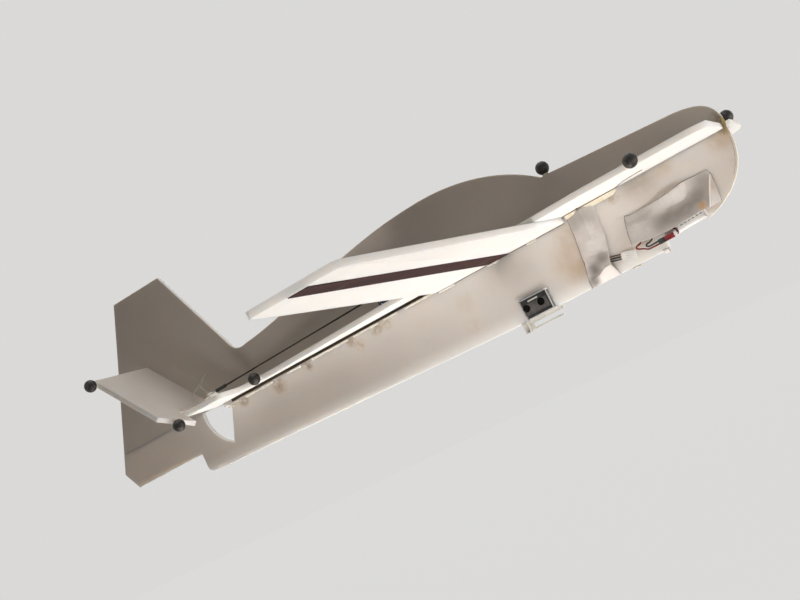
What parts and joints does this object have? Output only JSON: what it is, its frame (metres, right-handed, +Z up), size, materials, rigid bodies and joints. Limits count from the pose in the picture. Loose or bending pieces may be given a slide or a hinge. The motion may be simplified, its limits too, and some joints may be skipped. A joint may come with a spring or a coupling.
{
  "type": "perching foam glider",
  "caption": "Flat-foam indoor glider with crossed plate fuselage, tapered wing, servo-driven elevator, tracking markers and a sprung belly latch for perching on a line.",
  "frame": {"origin": "middle of the slot between the fixed latch arm and the sprung lever", "axes": "+X forward to the nose, +Y to the left wing tip, +Z up to the fin"},
  "size_m": [0.807, 0.892, 0.2535],
  "materials": {
    "foam": "fine-beaded white foam sheet",
    "carbon": "pultruded carbon, satin",
    "spar_tape": "dark strip, matt",
    "duct_tape": "silver-grey cloth tape",
    "clear_tape": "clear tape",
    "clear_plastic": "clear sheet",
    "white_nylon": "moulded nylon",
    "servo_blue": "moulded case",
    "black_plastic": "moulded",
    "steel": "bright wire",
    "pad": "foam tape",
    "lead_dark": "insulated wire",
    "lead_red": "insulated wire",
    "plug_white": "moulded plug",
    "socket_red": "moulded socket",
    "board": "circuit board in shrink film",
    "cell": "pouch cell",
    "marker": "retroreflective skin"
  },
  "bodies": {
    "airframe": {"lower_fuselage_plate": "foam", "upper_fuselage_plate": "foam", "deck": "foam", "wing_right": "foam", "wing_left": "foam", "wing_spar_strip_right": "spar_tape", "wing_spar_strip_left": "spar_tape", "wing_joiner_rod": "carbon", "deck_stringers": "carbon", "stabilizer_hinge_tape": "clear_tape", "servo_case": "servo_blue", "servo_pad": "pad", "servo_lead": "lead_dark", "servo_plug": "plug_white", "receiver": "board", "battery": "cell", "battery_lead_red": "lead_red", "battery_lead_black": "lead_dark", "battery_plug": "black_plastic", "battery_socket": "socket_red", "tape_strip": "duct_tape", "tape_patch": "duct_tape", "latch_housing": "clear_plastic", "latch_block": "black_plastic", "latch_bracket": "white_nylon", "latch_arm": "white_nylon", "lever_pin": "steel", "lever_spring": "steel", "marker_nose_right": "marker", "marker_nose_left": "marker", "marker_top": "marker", "marker_tail": "marker", "marker_bases": "white_nylon"},
    "elevator": {"elevator_right": "foam", "elevator_left": "foam", "elevator_joiner": "carbon", "control_horn": "clear_plastic", "elevator_hinge_tape": "clear_tape", "marker_elevator_tip": "marker", "marker_elevator_corner": "marker", "elevator_marker_bases": "white_nylon"},
    "pushrod": {"pushrod": "carbon", "pushrod_wire_rear": "steel", "pushrod_wire_front": "steel", "pushrod_sleeve_rear": "black_plastic", "pushrod_sleeve_front": "black_plastic"},
    "servo_arm": {"servo_shaft": "white_nylon", "servo_arm": "white_nylon", "servo_arm_screw": "steel"},
    "latch_lever": {"latch_lever": "white_nylon"}
  },
  "joints": [
    {"name": "elevator_hinge", "type": "hinge", "parent": "airframe", "child": "elevator", "pos_m": [-0.4015, 0, 0.0882], "axis": [0, 1, 0], "range_deg": [-78, 3]},
    {"name": "pushrod_pivot", "type": "hinge", "parent": "elevator", "child": "pushrod", "pos_m": [-0.39295, -0.031, 0.09512], "axis": [0, 1, 0], "range_deg": [-3, 78]},
    {"name": "servo_arm_turn", "type": "hinge", "parent": "airframe", "child": "servo_arm", "pos_m": [-0.1315, -0.028, 0.0947], "axis": [0, 1, 0], "range_deg": [-78, 3]},
    {"name": "lever_pivot", "type": "hinge", "parent": "airframe", "child": "latch_lever", "pos_m": [-0.0205, 0, -0.0032], "axis": [0, 1, 0], "range_deg": [0, 14], "stiffness_Nm_per_rad": 0.02, "springref_deg": -11.46}
  ],
  "couplings": [
    {"joint": "pushrod_pivot", "follows": "elevator_hinge", "ratio": -1},
    {"joint": "servo_arm_turn", "follows": "elevator_hinge", "ratio": 1}
  ]
}
